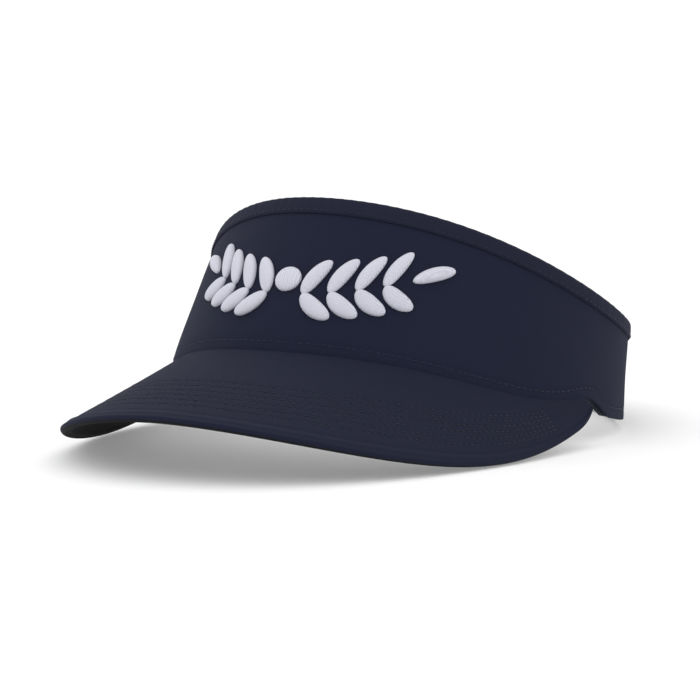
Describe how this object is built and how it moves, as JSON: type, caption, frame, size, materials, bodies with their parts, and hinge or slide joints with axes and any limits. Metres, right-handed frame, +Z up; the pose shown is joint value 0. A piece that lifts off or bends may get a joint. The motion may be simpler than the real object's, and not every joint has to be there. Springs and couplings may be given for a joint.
{
  "type": "sun visor",
  "caption": "Open-crown sun visor with a curved stitched bill, a high fabric front, a folded top binding and a hook-and-loop strap at the back.",
  "frame": {"origin": "bottom centre of the bounding box, on the surface the visor rests on", "axes": "+Z up, -Y towards the front of the bill, +X towards the wearer's left"},
  "size_m": [0.1768, 0.2729, 0.0902],
  "materials": {
    "shell_fabric": "fine navy twill, matte",
    "binding_fabric": "folded navy tape, matte",
    "bill_fabric": "fine navy twill, matte",
    "under_fabric": "black twill, matte",
    "board": "moulded board, plain",
    "stiffener": "woven buckram, stiff",
    "lining": "plain woven lining",
    "foam": "soft open foam",
    "terry": "short terry pile",
    "thread": "polyester sewing thread",
    "satin": "white satin stitch, raised",
    "emblem_foam": "white craft foam",
    "backing": "thin non-woven backing",
    "hook": "stiff hook fastener",
    "loop": "soft loop fastener",
    "label": "blank woven label"
  },
  "bodies": {
    "visor": {"crown_shell": "shell_fabric", "crown_lining": "lining", "front_stiffener": "stiffener", "side_interlining_left": "backing", "side_interlining_right": "backing", "top_binding": "binding_fabric", "binding_stitch": "thread", "crown_edge_stitch": "thread", "tail_stitch_left": "thread", "tail_stitch_right": "thread", "sweatband_face": "terry", "sweatband_foam": "foam", "sweatband_stitch": "thread", "size_label": "label", "care_label": "label", "bill_cover_top": "bill_fabric", "bill_board": "board", "bill_rim_seam": "bill_fabric", "bill_cover_under": "under_fabric", "bill_stitch_top": "thread", "bill_stitch_under": "thread", "bill_seam_allowance": "bill_fabric", "emblem_satin": "satin", "emblem_foam": "emblem_foam", "emblem_backing": "backing", "loop_tab": "shell_fabric", "loop_patch": "loop"},
    "strap_slide": {"hook_strap_root": "shell_fabric"},
    "strap_flap": {"hook_strap": "shell_fabric", "hook_patch": "hook", "strap_stitch": "thread"}
  },
  "joints": [
    {"name": "closure_adjust", "type": "hinge", "parent": "visor", "child": "strap_slide", "pos_m": [0, 0.06665, 0.018], "axis": [0, 0, 1], "range_deg": [0, 8]},
    {"name": "closure_peel", "type": "hinge", "parent": "strap_slide", "child": "strap_flap", "pos_m": [0.02132, 0.13074, 0.01772], "axis": [-0.0468, -0.1408, -0.9889], "range_deg": [0, 70]}
  ]
}
